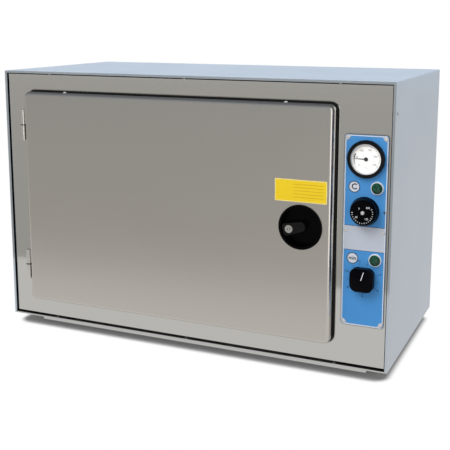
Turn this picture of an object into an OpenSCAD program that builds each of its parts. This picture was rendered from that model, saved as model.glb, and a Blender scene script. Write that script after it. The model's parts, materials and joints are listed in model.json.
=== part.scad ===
// Dry heat sterilizer: a sheet-steel cabinet with a side-hinged door, a cup latch and a column of controls.
// X runs to the right, Y to the back and Z up. The origin is under the middle of the whole machine.

/* [Cabinet] */
// Width over the cover
cabinet_w = 730; // [700:1:850]
// Height from the underside of the base pan to the top of the cover
cabinet_h = 467; // [450:1:600]
// Depth from the cover's front edge to its rear edge
cabinet_d = 357; // [340:1:480]
// Thickness of the steel sheet
sheet_t = 1.2; // [1:0.1:1.6]
// How far the cover's front edge stands ahead of the fascia
cover_lead = 4; // [3:0.5:8]
// Width of the folded hem at the cover's front edge
hem_w = 4; // [3:0.5:6]
// Bend radius of the cover's two top edges
cover_bend_r = 2; // [2:0.5:6]
// Dark gap between the fascia's edge and the cover
fascia_gap = 4.8; // [3:0.2:6]
// Depth of the flange folded back from the fascia's edge
fascia_flange = 18; // [16:1:24]
// Width of the fold along the base pan's front edge
pan_hem = 6; // [4:0.5:8]
// Width of the flange folded in at the cover's rear edge
rear_flange = 12; // [10:1:16]

/* [Feet] */
// Height of the foot rails
foot_h = 18; // [12:1:30]
// Width of a foot rail
foot_w = 25; // [20:1:40]
// Distance of the rails' ends from the cabinet's sides
foot_inset = 43; // [20:1:60]
// Distance of the front rail from the cabinet's front edge
foot_setback = 32; // [28:1:70]
// Distance of the rear rail from the cabinet's rear edge
foot_rear_setback = 48; // [30:1:70]

/* [Door] */
// From the cabinet's left side to the door
door_left_margin = 51.5; // [46:0.5:60]
// From the door to the cabinet's right side
control_column_w = 92.5; // [90:0.5:110]
// From the top of the door to the top of the cabinet
door_top_margin = 36.5; // [34:0.5:50]
// From the underside of the base pan to the door
door_bottom_margin = 39.5; // [36:0.5:50]
// How far the door's face stands ahead of the fascia
door_proud = 20; // [18:0.5:24]
// Radius of the door's corners seen from the front
door_corner_r = 10; // [9:0.5:14]
// Radius of the rolled edge round the door's face
door_edge_r = 6; // [4:0.5:7]
// Thickness of the seal
gasket_t = 3; // [2.5:0.1:4]
// How far the seal shows past the door's edge
gasket_lip = 2.5; // [1.5:0.1:2.8]
// How far the door laps over the edge of the opening
door_lap = 17; // [16:0.5:22]
// Gap between the door's inner pan and the edge of the opening
plug_gap = 3; // [2.5:0.5:5]
// How far the door's inner pan reaches behind the fascia
plug_depth = 22; // [20:0.5:30]
// Distance of the door's edge screws from its sides
door_screw_inset = 83; // [60:1:120]

/* [Hinges] */
// Radius of a hinge knuckle
knuckle_r = 4; // [3.6:0.1:4.4]
// Radius of a hinge pin
pin_r = 2.5; // [2:0.1:2.8]
// Length of one knuckle
knuckle_l = 28; // [20:1:40]
// Distance of the hinge line ahead of the fascia
hinge_ahead = 15; // [13:0.5:15.5]
// Distance of the hinge line from the door's side
hinge_aside = 5.7; // [5.2:0.1:7]
// Thickness of a hinge leaf
leaf_t = 2; // [1.5:0.1:2.5]
// From the top of the door to the middle of the upper hinge
hinge_from_top = 61; // [50:1:90]
// From the bottom of the door to the middle of the lower hinge
hinge_from_bottom = 66; // [50:1:90]

/* [Latch] */
// From the door's free side to the middle of the cup
cup_inset = 52; // [50:0.5:60]
// How far the cup sits below the door's mid-height
cup_drop = 4; // [0:0.5:20]
// Radius of the cup's rim
cup_rim_r = 37; // [36:0.5:39]
// Radius of the cup's outer wall
cup_r = 34.5; // [34:0.5:35]
// Thickness of the cup's floor
cup_floor_t = 2.5; // [2:0.1:3]
// Thickness of the cup's wall
cup_wall = 1.5; // [1:0.1:2]
// Length of the lever from its pivot to its end
lever_l = 31; // [29:0.5:31.5]
// Width of the lever
lever_w = 20; // [18:0.5:22]
// Thickness of the lever
lever_t = 8; // [7:0.5:8.5]
// How far the lever droops below level when the door is free
lever_droop = 14; // [0:1:20]
// Radius of the lock cylinder
lock_r = 6.5; // [5.5:0.1:7]
// Radius of the latch spindle
spindle_r = 4; // [3.5:0.1:4.5]
// Width of the latch cam
cam_w = 16; // [14:0.5:18]
// Thickness of the latch cam
cam_t = 3; // [2.5:0.1:4]
// Distance of the cam behind the fascia
cam_back = 8; // [7.5:0.5:10]
// Width and height of the blank yellow plate over the cup
label_w = 88; // [70:1:94]
label_h = 36.5; // [25:0.5:45]

/* [Chamber] */
// Free depth behind the chamber
rear_space = 60; // [50:1:80]
// Thickness of the chamber's sheet
liner_t = 1; // [0.8:0.1:1.5]
// Corner radius of the opening and the chamber
chamber_r = 8; // [5:0.5:14]
// Thickness of the mineral wool
wool_t = 25; // [20:1:26]
// Height of the lower tray over the chamber's floor
tray_1_h = 105; // [90:1:120]
// Height of the upper tray over the chamber's floor
tray_2_h = 230; // [200:1:250]
// Depth of a tray's dish
tray_depth = 18; // [12:1:24]
// Radius of the wire of the side racks
rack_wire_r = 2.5; // [2:0.1:3]
// Radius of the heating tube
heater_r = 3.5; // [3:0.1:4.2]
// Distance between two runs of the heating tube
heater_pitch = 50; // [44:1:54]

/* [Controls] */
// Width of the control plate
plate_w = 69; // [64:0.5:72]
// Height of the control plate
plate_h = 310; // [300:1:330]
// Thickness of the control plate
plate_t = 2; // [1.5:0.1:3]
// From the cabinet's right side to the middle of the control plate
plate_inset = 44; // [43:0.5:47]
// From the underside of the base pan to the bottom of the control plate
plate_bottom = 73.5; // [60:0.5:85]
// Radius of the thermometer's bezel
bezel_r = 30; // [28:0.5:32]
// Radius of the thermometer's case
case_r = 26; // [25:0.5:27]
// Radius and height of the thermostat knob
thermostat_knob_r = 23.3; // [20:0.1:25]
thermostat_knob_h = 15; // [12:0.5:20]
// Width and height of the timer knob
timer_knob_w = 38; // [32:0.5:42]
timer_knob_h = 14; // [12:0.5:20]
// Radius of a pilot lamp's ring
lamp_ring_r = 10.8; // [10:0.1:12]
// Width of the ring round its lens
lamp_ring_w = 2; // [1.2:0.1:2.4]

/* [Rear] */
// Radius of the hole for the mains cord in its gland
gland_bore_r = 4; // [3:0.1:5]
// How far the gland stands behind the cabinet
gland_out = 22; // [18:1:30]

/* [Hidden] */

$fn = 48;
eps = 0.01;

// Running clearance of a shaft in its hole, and the gap of a seated piece
run_gap = 0.05;
seat_gap = 0.3;
screw_r = 1.5;
screw_hole_r = 1.7;
screw_head_r = 3.4;
screw_head_h = 1.8;

half_w = cabinet_w / 2;
back_y = cabinet_d - cover_lead;
inner_x = half_w - sheet_t;

// Middle of the machine from front to back, cup rim to gland
cup_rim_t = 1.2;
front_reach = door_proud + cup_rim_t;
frame_y = -(back_y + gland_out - front_reach) / 2;

door_l = -half_w + door_left_margin;
door_r = half_w - control_column_w;
door_b = door_bottom_margin;
door_t = cabinet_h - door_top_margin;
door_mid_z = (door_b + door_t) / 2;
pan_back = -(seat_gap + gasket_t);
pan_flange = 16;
gasket_in = 10;
plug_in = door_lap + plug_gap;

open_l = door_l + door_lap;
open_r = door_r - door_lap;
open_b = door_b + door_lap;
open_t = door_t - door_lap;

hinge_x = door_l - hinge_aside;
hinge_zs = [door_b + hinge_from_bottom, door_t - hinge_from_top];
washer_t = 1.5;
washer_r = knuckle_r + 1.2;

cup_x = door_r - cup_inset;
cup_z = door_mid_z - cup_drop;
cup_floor = pan_back - sheet_t - seat_gap - cup_floor_t;
cup_boss_r = 9;
lever_front = -door_proud + 1;
lever_back = lever_front + lever_t;
hub_r = 8;
lever_end_r = 5;
lock_at = lever_l - lever_w / 2 - 0.5;
keeper_t = 3;
cam_l = open_r + liner_t + keeper_t + 6 - cup_x;
cam_clear = 2.5;
cam_entry = sqrt(pow(cam_l, 2) - pow(door_r - plug_in - sheet_t - cup_x, 2)) + cam_clear;

chamber_y0 = sheet_t;
chamber_back = back_y - rear_space;
wool_in = liner_t + seat_gap;
wool_out = wool_in + wool_t;
shield_x = open_r + wool_out + 3;
keeper_pocket = keeper_t + 8;

heater_z = open_b + 16;
heater_y0 = 62;
heater_side = 14 + heater_pitch / 2 + heater_r;
heater_x0 = open_l + heater_side;
heater_x1 = open_r - heater_side;
heater_runs = 4;
baffle_h = 28;
tray_y0 = plug_depth + 20;
tray_y1 = chamber_back - 14;
rack_off = 7;
rack_in = rack_off + rack_wire_r + 1.5;
rack_ys = [tray_y0 + 16, tray_y1 - 20];
guide_gap = tray_depth + 9;

plate_x = half_w - plate_inset;
plate_front = -plate_t;
plate_mid_z = plate_bottom + plate_h / 2;
bezel_z = plate_bottom + plate_h - 37.5;
lamp_1_z = bezel_z - 45;
thermostat_z = lamp_1_z - 38;
timer_z = plate_bottom + 79;
lamp_2_z = timer_z + 32.5;
lamp_x = plate_x + plate_w / 2 - 15.7;
lamp_zs = [lamp_1_z, lamp_2_z];
plate_screw_dx = plate_w / 2 - 4;
plate_screw_zs = [plate_bottom + 5.5, plate_mid_z + 2, plate_bottom + plate_h - 5.5];
lamp_body_r = 6;
lamp_body_back = 26;
bush_r = 4.9;
shaft_r = 3;
knob_gap = 0.8;
bezel_h = 6;
case_back = 28;
thermostat_deep = 35;
timer_deep = 42;
probe_r = 4;
probe_ys = [100, 130];
probe_zs = [open_t - 34, open_t - 50];

gland_x = plate_x;
gland_z = 62;
gland_thread_r = 7.8;
rear_screw_in = 6;

// The machine's own frame: everything below is drawn with the fascia's face at y = 0, the base pan at z = 0
module place() { translate([0, frame_y, foot_h]) children(); }

// A flat shape in x and z, made solid from y0 to y1
module along_y(y0, y1) {
    translate([0, y1, 0]) rotate([90, 0, 0]) linear_extrude(y1 - y0) children();
}

// A flat shape in y and z, made solid from x0 to x1
module along_x(x0, x1) {
    translate([x0, 0, 0]) rotate([90, 0, 90]) linear_extrude(x1 - x0) children();
}

module rod_y(r, y0, y1) { translate([0, y1, 0]) rotate([90, 0, 0]) cylinder(r = r, h = y1 - y0); }

module rod_x(r, x0, x1) { translate([x0, 0, 0]) rotate([0, 90, 0]) cylinder(r = r, h = x1 - x0); }

module block(x0, y0, z0, x1, y1, z1) { translate([x0, y0, z0]) cube([x1 - x0, y1 - y0, z1 - z0]); }

module round_rect(x0, z0, x1, z1, r) {
    translate([x0 + r, z0]) square([x1 - x0 - 2 * r, z1 - z0]);
    translate([x0, z0 + r]) square([x1 - x0, z1 - z0 - 2 * r]);
    for (x = [x0 + r, x1 - r], z = [z0 + r, z1 - r]) translate([x, z]) circle(r);
}

// The door's outline drawn in by a distance, and the chamber's outline let out by one
module door_outline(inset, r) {
    round_rect(door_l + inset, door_b + inset, door_r - inset, door_t - inset, r);
}

module chamber_outline(out) {
    round_rect(open_l - out, open_b - out, open_r + out, open_t + out, chamber_r + out);
}

// A slotted screw with a domed head, its head's underside at z = 0 and its shank below
module screw(shank_l) {
    difference() {
        union() {
            intersection() {
                dome_r = (pow(screw_head_r, 2) + pow(screw_head_h, 2)) / (2 * screw_head_h);
                translate([0, 0, screw_head_h - dome_r]) sphere(dome_r);
                cylinder(r = screw_head_r + 1, h = screw_head_h + 1);
            }
            translate([0, 0, -shank_l]) cylinder(r = screw_r, h = shank_l + eps);
        }
        translate([-screw_head_r, -0.4, screw_head_h - 0.8]) cube([2 * screw_head_r, 0.8, 2]);
    }
}

// Cabinet

module cover_section(inset) {
    r = cover_bend_r - min(inset, cover_bend_r - 0.5);
    top = cabinet_h - inset;
    side = half_w - inset;
    translate([-side, -inset]) square([2 * side, top - r + inset]);
    translate([-side + r, top - r - eps]) square([2 * (side - r), r + eps]);
    for (x = [-side + r, side - r]) translate([x, top - r]) circle(r);
}

side_screw_z = door_t - 13;
side_screw_y = 10.7;
nut_zs = [door_b + 20, side_screw_z];
nut_xs = [-half_w * 0.75, 0, half_w * 0.75];
nut_y = pan_hem - cover_lead + 7;

module outer_cover() {
    color("lightsteelblue") place() difference() {
        union() {
            along_y(-cover_lead, back_y) difference() {
                cover_section(0);
                cover_section(sheet_t);
            }
            along_y(-cover_lead, -cover_lead + sheet_t) intersection() {
                difference() {
                    cover_section(sheet_t / 2);
                    cover_section(hem_w);
                }
                translate([-half_w, sheet_t]) square([cabinet_w, cabinet_h]);
            }
            along_y(back_y - 2 * sheet_t, back_y - sheet_t) intersection() {
                difference() {
                    cover_section(sheet_t / 2);
                    cover_section(rear_flange);
                }
                translate([-half_w, 20]) square([cabinet_w, cabinet_h]);
            }
        }
        for (s = [-1, 1]) translate([s * half_w, side_screw_y, side_screw_z])
            rod_x(screw_hole_r, -3, 3);
        rear_screw_places("cover") rod_y(screw_hole_r, back_y - 5, back_y + 1);
    }
}

module base_pan() {
    lip_x = half_w - hem_w;
    flange_z = 16;
    color("silver") place() difference() {
        union() {
            block(-inner_x, -cover_lead + sheet_t, 0, inner_x, back_y - sheet_t, sheet_t);
            block(-lip_x, -cover_lead, 0, lip_x, -cover_lead + pan_hem, 2 * sheet_t);
            for (s = [-1, 1])
                block(s > 0 ? inner_x - sheet_t : -inner_x, fascia_flange + 4, 0,
                      s > 0 ? inner_x : -inner_x + sheet_t, back_y - sheet_t, flange_z);
            block(-inner_x, back_y - 2 * sheet_t, 0, inner_x, back_y - sheet_t, flange_z);
        }
        // Air slots under the controls
        for (i = [0:5]) along_slot(plate_x - 24, 84 + 22 * i, plate_x + 24, 90 + 22 * i);
        for (x = nut_xs) translate([x, nut_y, -1]) cylinder(r = screw_hole_r, h = 4);
        rear_screw_places("base") rod_y(screw_hole_r, back_y - 5, back_y + 1);
    }
}

// A slot with round ends through the base pan
module along_slot(x0, y0, x1, y1) {
    r = (y1 - y0) / 2;
    translate([0, 0, -1]) linear_extrude(4) {
        translate([x0 + r, y0]) square([x1 - x0 - 2 * r, y1 - y0]);
        for (x = [x0 + r, x1 - r]) translate([x, y0 + r]) circle(r);
    }
}

module foot_rail(y0) {
    wall = 1.5;
    color("gainsboro") place()
        difference() {
            block(-half_w + foot_inset, y0, -foot_h, half_w - foot_inset, y0 + foot_w, 0);
            block(-half_w + foot_inset - 1, y0 + wall, -foot_h + wall,
                  half_w - foot_inset + 1, y0 + foot_w - wall, -wall);
            block(-half_w + foot_inset - 1, y0 + foot_w / 2 - 4, -wall - 1,
                  half_w - foot_inset + 1, y0 + foot_w / 2 + 4, 1);
        }
}

module front_foot_rail() { foot_rail(-cover_lead + foot_setback); }

module rear_foot_rail() { foot_rail(back_y - foot_rear_setback - foot_w); }

module front_fascia() {
    edge = sheet_t + fascia_gap;
    x = half_w - edge;
    top = cabinet_h - edge;
    color("silver") place() difference() {
        union() {
            difference() {
                block(-x, 0, edge, x, fascia_flange, top);
                block(-x + sheet_t, sheet_t, edge + sheet_t, x - sheet_t, fascia_flange + 1,
                      top - sheet_t);
            }
            // Welded nuts that hold the fascia off the cover and the base pan
            for (s = [-1, 1], z = nut_zs) translate([s * x, side_screw_y, z])
                rod_x(4.5, s > 0 ? 0 : -fascia_gap, s > 0 ? fascia_gap : 0);
            for (nx = nut_xs) {
                translate([nx, nut_y, sheet_t]) cylinder(r = 4.5, h = fascia_gap);
                translate([nx, nut_y, top]) cylinder(r = 4.5, h = fascia_gap);
            }
        }
        along_y(-1, sheet_t + 1) chamber_outline(0);
        for (s = [-1, 1]) translate([s * x, side_screw_y, side_screw_z]) rod_x(screw_hole_r, -6, 6);
        for (nx = nut_xs) translate([nx, nut_y, 0]) cylinder(r = screw_hole_r, h = edge + 4);
        control_holes();
    }
}

// Holes that the fascia and the control plate share
module control_holes() {
    translate([plate_x, 0, bezel_z]) rod_y(case_r + seat_gap, -plate_t - 1, sheet_t + 1);
    for (z = [thermostat_z, timer_z])
        translate([plate_x, 0, z]) rod_y(bush_r + seat_gap, -plate_t - 1, sheet_t + 1);
    for (z = lamp_zs)
        translate([lamp_x, 0, z]) rod_y(lamp_body_r + seat_gap, -plate_t - 1, sheet_t + 1);
    for (s = [-1, 1], z = plate_screw_zs)
        translate([plate_x + s * plate_screw_dx, 0, z]) rod_y(screw_hole_r, -plate_t - 1, sheet_t + 1);
}

// Where the rear panel is screwed to the cover's flange and to the base pan's flange
module rear_screw_places(part) {
    x = inner_x - rear_screw_in;
    if (part != "base") {
        for (s = [-1, 1], z = [40, cabinet_h / 2, cabinet_h - sheet_t - rear_screw_in])
            translate([s * x, 0, z]) children();
        translate([0, 0, cabinet_h - sheet_t - rear_screw_in]) children();
    }
    if (part != "cover") for (k = [-1, 1]) translate([k * half_w / 2, 0, 9]) children();
}

module rear_panel() {
    slot_w = 46;
    slot_h = 5;
    rows = 6;
    color("lightgray") place() difference() {
        block(-inner_x + seat_gap, back_y - sheet_t, seat_gap, inner_x - seat_gap, back_y,
              cabinet_h - sheet_t - seat_gap);
        for (i = [0:rows - 1], x = [plate_x - slot_w / 2, -60 - slot_w, -slot_w / 2, 60])
            along_y(back_y - sheet_t - 1, back_y + 1)
                round_rect(x, cabinet_h - 60 - 12 * i, x + slot_w, cabinet_h - 60 - 12 * i + slot_h,
                           slot_h / 2 - 0.01);
        translate([gland_x, 0, gland_z]) rod_y(gland_thread_r + 0.2, back_y - 3, back_y + 1);
        rear_screw_places("all") rod_y(screw_hole_r, back_y - 3, back_y + 1);
    }
}

module rear_screws() {
    color("gray") place() rear_screw_places("all")
        translate([0, back_y, 0]) rotate([-90, 0, 0]) screw(6);
}

module cover_screws() {
    color("gray") place() {
        translate([half_w, side_screw_y, side_screw_z]) rotate([0, 90, 0]) screw(10);
        translate([-half_w, side_screw_y, side_screw_z]) rotate([0, -90, 0]) screw(10);
        for (x = nut_xs) translate([x, nut_y, 0]) rotate([180, 0, 0]) screw(8);
    }
}

// Chamber

module chamber_liner() {
    flange = 10;
    color("whitesmoke") place() difference() {
        union() {
            along_y(chamber_y0, chamber_y0 + liner_t) chamber_outline(flange);
            along_y(chamber_y0, chamber_back + liner_t) chamber_outline(liner_t);
        }
        along_y(chamber_y0 - 1, chamber_back) chamber_outline(0);
        cam_slot(open_r - 2, open_r + liner_t + 2);
        heater_ends() rod_x(heater_r + 0.4, open_r - 2, open_r + liner_t + 2);
        probe_places() rod_x(probe_r + 0.4, open_r - 2, open_r + liner_t + 2);
    }
}

// The slot in which the cam turns, cut through upright walls from x0 to x1
module cam_slot(x0, x1) {
    block(x0, cam_back - cam_clear, cup_z - cam_entry, x1, cam_back + cam_t + cam_clear,
          cup_z + cam_w / 2 + cam_clear);
}

module heater_ends() {
    for (k = [0, heater_runs - 1]) translate([0, heater_y0 + heater_pitch * k, heater_z]) children();
}

module probe_places() {
    for (k = [0, 1]) translate([0, probe_ys[k], probe_zs[k]]) children();
}

module chamber_insulation() {
    wool_y0 = chamber_y0 + liner_t + seat_gap;
    color("khaki") place() difference() {
        along_y(wool_y0, chamber_back + wool_out)
            round_rect(open_l - wool_out, open_b - wool_out, open_r + wool_out, open_t + wool_out,
                       chamber_r + 4);
        along_y(wool_y0 - 1, chamber_back + wool_in) chamber_outline(wool_in);
        block(open_r, wool_y0 - 1, cup_z - cam_entry - 6, open_r + liner_t + keeper_pocket, cam_back + 22,
              cup_z + cam_w / 2 + 12);
        heater_ends() rod_x(heater_r + 0.4, open_r, open_r + wool_out + 2);
        probe_places() rod_x(probe_r + 0.4, open_r, open_r + wool_out + 2);
    }
}

module chamber_supports() {
    top = open_b - wool_out;
    wall = 1.5;
    color("silver") place()
        for (y = [foot_setback - cover_lead, chamber_back - 50]) difference() {
            block(open_l - wool_out + 10, y, sheet_t, open_r + wool_out - 10, y + 40, top);
            block(open_l - wool_out, y + wall, sheet_t - 1, open_r + wool_out, y + 40 - wall, top - wall);
        }
}

module heat_shield() {
    z0 = door_b - 20;
    z1 = door_t + 12;
    foot = 12;
    color("gainsboro") place() difference() {
        union() {
            block(shield_x, chamber_y0, z0, shield_x + liner_t, back_y - 30, z1);
            block(shield_x, chamber_y0, z0, shield_x + foot, chamber_y0 + liner_t, bezel_z - case_r - 6);
            // Feet folded out to stand on the base pan
            for (y = [60, chamber_back]) block(shield_x, y, sheet_t, shield_x + liner_t, y + 20, z0 + 1);
        }
        heater_ends() rod_x(heater_r + 0.4, shield_x - 1, shield_x + liner_t + 1);
        probe_places() rod_x(probe_r + 0.4, shield_x - 1, shield_x + liner_t + 1);
        for (z = plate_screw_zs)
            translate([plate_x - plate_screw_dx, 0, z]) rod_y(screw_hole_r, 0, sheet_t + liner_t + 1);
    }
}

module heating_element() {
    bend_r = heater_pitch / 2;
    end_x = shield_x + liner_t + 10;
    color("dimgray") place() translate([0, heater_y0, heater_z]) {
        for (k = [0:heater_runs - 1]) translate([0, heater_pitch * k, 0])
            rod_x(heater_r, heater_x0, (k == 0 || k == heater_runs - 1) ? end_x : heater_x1);
        for (k = [0:heater_runs - 2]) translate([k % 2 == 0 ? heater_x0 : heater_x1, heater_pitch * k + bend_r, 0])
            rotate([0, 0, k % 2 == 0 ? 90 : -90]) rotate_extrude(angle = 180)
                translate([bend_r, 0]) circle(heater_r);
    }
}

module floor_baffle() {
    x0 = open_l + 10;
    x1 = open_r - 10;
    y0 = plug_depth + 8;
    y1 = chamber_back - 8;
    leg = 1;
    cols = 8;
    rows = 5;
    pitch_x = (x1 - x0) / (cols + 0.5);
    pitch_y = (y1 - y0) / (rows + 0.5);
    color("silver") place() difference() {
        union() {
            block(x0, y0, open_b + baffle_h - leg, x1, y1, open_b + baffle_h);
            for (x = [x0, x1 - leg]) block(x, y0, open_b, x + leg, y1, open_b + baffle_h);
        }
        for (i = [0:cols - 1], j = [0:rows - 1])
            translate([x0 + pitch_x * (i + 0.75), y0 + pitch_y * (j + 0.75), open_b + baffle_h - 3])
                cylinder(r = 5, h = 6);
        block(x1 - 5, heater_y0 - heater_r - 2, open_b - 1, x1 + 1, heater_y0 + heater_r + 2,
              heater_z + heater_r + 2);
        block(x1 - 5, heater_y0 + 3 * heater_pitch - heater_r - 2, open_b - 1, x1 + 1,
              heater_y0 + 3 * heater_pitch + heater_r + 2, heater_z + heater_r + 2);
    }
}

// A side rack of welded wire, drawn for the left wall
module rack() {
    z_low = open_b + baffle_h + 14;
    z_high = open_t - 30;
    levels = [for (h = [tray_1_h, tray_2_h], g = [0, guide_gap]) open_b + h + g];
    difference() {
        union() {
            for (y = rack_ys) translate([open_l + rack_off, y, z_low]) cylinder(r = rack_wire_r, h = z_high - z_low);
            for (z = levels) translate([open_l + rack_in, 0, z]) rod_y(rack_wire_r, tray_y0, tray_y1);
            for (y = rack_ys, z = [z_low + 12, z_high - 12]) translate([0, y, z])
                rod_x(4, open_l + eps, open_l + rack_off);
        }
    }
}

module rack_left() { color("silver") place() rack(); }

module rack_right() {
    color("silver") place() translate([open_l + open_r, 0, 0]) mirror([1, 0, 0]) rack();
}

module tray(height) {
    rest = open_b + height + rack_wire_r + 0.1;
    x0 = open_l + rack_in - 1;
    x1 = open_r - rack_in + 1;
    step = rack_wire_r + 3;
    cols = 7;
    rows = 4;
    pitch_x = (x1 - x0 - 2 * step) / (cols + 0.5);
    pitch_y = (tray_y1 - tray_y0) / (rows + 0.5);
    color("gainsboro") place() difference() {
        union() {
            block(x0, tray_y0, rest, x1, tray_y1, rest + 1);
            block(x0 + step, tray_y0, rest - tray_depth, x1 - step, tray_y1, rest + eps);
        }
        block(x0 + step + 1, tray_y0 + 1, rest - tray_depth + 1, x1 - step - 1, tray_y1 - 1, rest + 2);
        for (i = [0:cols - 1], j = [0:rows - 1])
            translate([x0 + step + pitch_x * (i + 0.75), tray_y0 + pitch_y * (j + 0.75), rest - tray_depth - 1])
                cylinder(r = 6, h = 3);
    }
}

module lower_tray() { tray(tray_1_h); }

module upper_tray() { tray(tray_2_h); }

module latch_keeper() {
    x0 = open_r + liner_t;
    color("gray") place() difference() {
        block(x0, chamber_y0 + liner_t + seat_gap, cup_z - cam_entry - 5, x0 + keeper_t, cam_back + 18,
              cup_z + cam_w / 2 + 10);
        cam_slot(x0 - 1, x0 + keeper_t + 1);
    }
}

// Hinges

module hinge_places() {
    for (z = hinge_zs) translate([hinge_x, -hinge_ahead, z]) children();
}

module cabinet_hinge_leaves() {
    color("silver") place() hinge_places() difference() {
        union() {
            translate([0, 0, -knuckle_l]) cylinder(r = knuckle_r, h = knuckle_l - washer_t / 2);
            block(-leaf_t / 2, 0, -knuckle_l, leaf_t / 2, hinge_ahead, -washer_t / 2);
        }
        translate([0, 0, -knuckle_l + 2]) cylinder(r = pin_r + run_gap, h = knuckle_l);
    }
}

module hinge_pins() {
    color("gray") place() hinge_places()
        translate([0, 0, -knuckle_l + 2]) cylinder(r = pin_r, h = 2 * knuckle_l - 6);
}

module hinge_washers() {
    color("dimgray") place() hinge_places() difference() {
        translate([0, 0, -washer_t / 2]) cylinder(r = washer_r, h = washer_t);
        translate([0, 0, -washer_t]) cylinder(r = pin_r + run_gap, h = 2 * washer_t);
    }
}

module door_hinge_leaves() {
    low = washer_t / 2 + seat_gap;
    color("whitesmoke") place() hinge_places() difference() {
        union() {
            translate([0, 0, low]) cylinder(r = knuckle_r, h = knuckle_l - low);
            block(0, 0, low, hinge_aside, leaf_t, knuckle_l);
            block(hinge_aside - leaf_t, 0, low, hinge_aside, hinge_ahead + pan_back - 1, knuckle_l);
        }
        translate([0, 0, low - 1]) cylinder(r = pin_r + run_gap, h = knuckle_l - 2 - low + 1);
    }
}

// Door

// Section through the door's rolled edge: out from the corner's centre, and back from the face
module edge_block(inset) {
    deep = door_proud + pan_back;
    translate([0, inset]) square([door_corner_r - door_edge_r, deep - inset]);
    translate([0, door_edge_r]) square([door_corner_r - inset, deep - door_edge_r]);
    intersection() {
        translate([door_corner_r - door_edge_r, door_edge_r]) circle(door_edge_r - inset);
        square([door_corner_r, door_edge_r + eps]);
    }
}

module edge_section() {
    difference() {
        edge_block(0);
        difference() {
            edge_block(sheet_t);
            square([door_corner_r, sheet_t]);
        }
        translate([-1, door_proud + pan_back - eps]) square([door_corner_r + 1 - sheet_t, 1]);
    }
}

module door_skin() {
    x0 = door_l + door_corner_r;
    x1 = door_r - door_corner_r;
    z0 = door_b + door_corner_r;
    z1 = door_t - door_corner_r;
    corners = [[x1, z0], [x0, z0], [x0, z1], [x1, z1]];
    color("silver") place() difference() {
        union() {
            for (i = [0:3]) translate([corners[i][0], -door_proud, corners[i][1]]) rotate([0, 90 * i, 0]) {
                linear_extrude(i % 2 == 0 ? z1 - z0 : x1 - x0) edge_section();
                rotate([-90, 0, 0]) rotate_extrude(angle = 90) edge_section();
            }
            block(x0, -door_proud, z0, x1, -door_proud + sheet_t, z1);
            along_y(pan_back - sheet_t, pan_back) difference() {
                door_outline(sheet_t / 2, door_corner_r - sheet_t / 2);
                door_outline(pan_flange, 4);
            }
        }
        translate([cup_x, 0, cup_z]) rod_y(cup_r + seat_gap, -door_proud - 1, -door_proud + sheet_t + 1);
        door_screw_places() translate([0, 0, -4]) cylinder(r = screw_hole_r, h = 8);
    }
}

door_screw_y = (door_edge_r - door_proud + pan_back) / 2;

module door_screw_places() {
    for (x = [door_l + door_screw_inset, door_r - door_screw_inset]) {
        translate([x, door_screw_y, door_t]) children();
        translate([x, door_screw_y, door_b]) rotate([180, 0, 0]) children();
    }
}

module door_screws() { color("whitesmoke") place() door_screw_places() screw(9); }

module door_screw_blocks() {
    color("gray") place() door_screw_places() difference() {
        translate([-8, -3.8, -sheet_t - 9]) cube([16, 7.6, 9]);
        translate([0, 0, -12]) cylinder(r = screw_hole_r, h = 12);
    }
}

module door_gasket() {
    color("black") place() along_y(pan_back, pan_back + gasket_t) difference() {
        door_outline(-gasket_lip, door_corner_r + gasket_lip);
        door_outline(gasket_in, 4);
    }
}

module door_inner_pan() {
    color("gainsboro") place() difference() {
        union() {
            along_y(pan_back, pan_back + sheet_t) door_outline(gasket_in + 0.5, 4);
            along_y(pan_back, plug_depth) door_outline(plug_in, 6);
        }
        along_y(pan_back - 1, plug_depth - sheet_t) door_outline(plug_in + sheet_t, 6 - sheet_t);
        cam_slot(door_r - plug_in - sheet_t - 1, door_r - plug_in + 1);
    }
}

module door_insulation() {
    front = -door_proud + sheet_t + seat_gap;
    fill = plug_in + sheet_t + seat_gap;
    color("khaki") place() difference() {
        union() {
            along_y(front, pan_back - sheet_t - seat_gap) door_outline(13, 4);
            along_y(front, plug_depth - sheet_t - seat_gap) door_outline(fill, 4);
        }
        block(cup_x - cup_rim_r - 6, -door_proud, cup_z - cam_l - 6, door_r, plug_depth,
              cup_z + cup_rim_r + 8);
    }
}

module door_label() {
    color("gold") place() along_y(-door_proud - 0.4, -door_proud)
        round_rect(cup_x - label_w / 2, cup_z + cup_rim_r + 4, cup_x + label_w / 2,
                   cup_z + cup_rim_r + 4 + label_h, 1);
}

// Latch

module at_cup() { place() translate([cup_x, 0, cup_z]) children(); }

module latch_cup() {
    color([0.08, 0.08, 0.09]) at_cup() difference() {
        union() {
            rod_y(cup_rim_r, -door_proud - cup_rim_t, -door_proud);
            rod_y(cup_r, -door_proud, cup_floor + cup_floor_t);
            rod_y(cup_boss_r, cup_floor, cam_back - 1);
        }
        rod_y(cup_r - cup_wall, -door_proud - cup_rim_t - 1, cup_floor);
        rod_y(spindle_r + run_gap, cup_floor - 1, cam_back + 1);
    }
}

module cup_ring() {
    front = -door_proud + sheet_t;
    color("dimgray") at_cup() difference() {
        rod_y(cup_rim_r + 2.5, front, front + 4);
        rod_y(cup_r + seat_gap, front - 1, front + 5);
    }
}

// Points along the lever from its pivot, to the left and down by its droop
module along_lever() { rotate([0, -lever_droop, 0]) mirror([1, 0, 0]) children(); }

// The lever widens from its hub to its end, with straight sides that touch both rounds
module lever_outline() {
    end = [lever_l - lever_end_r, lever_w / 2 - lever_end_r];
    turn = atan2(end[1], end[0]) + acos((hub_r - lever_end_r) / norm(end));
    out = [cos(turn), sin(turn)];
    circle(hub_r);
    for (s = [-1, 1]) scale([1, s]) {
        translate(end) circle(lever_end_r);
        polygon([[0, -eps], hub_r * out, end + lever_end_r * out, end, [lever_l, end[1]], [lever_l, -eps]]);
    }
}

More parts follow.
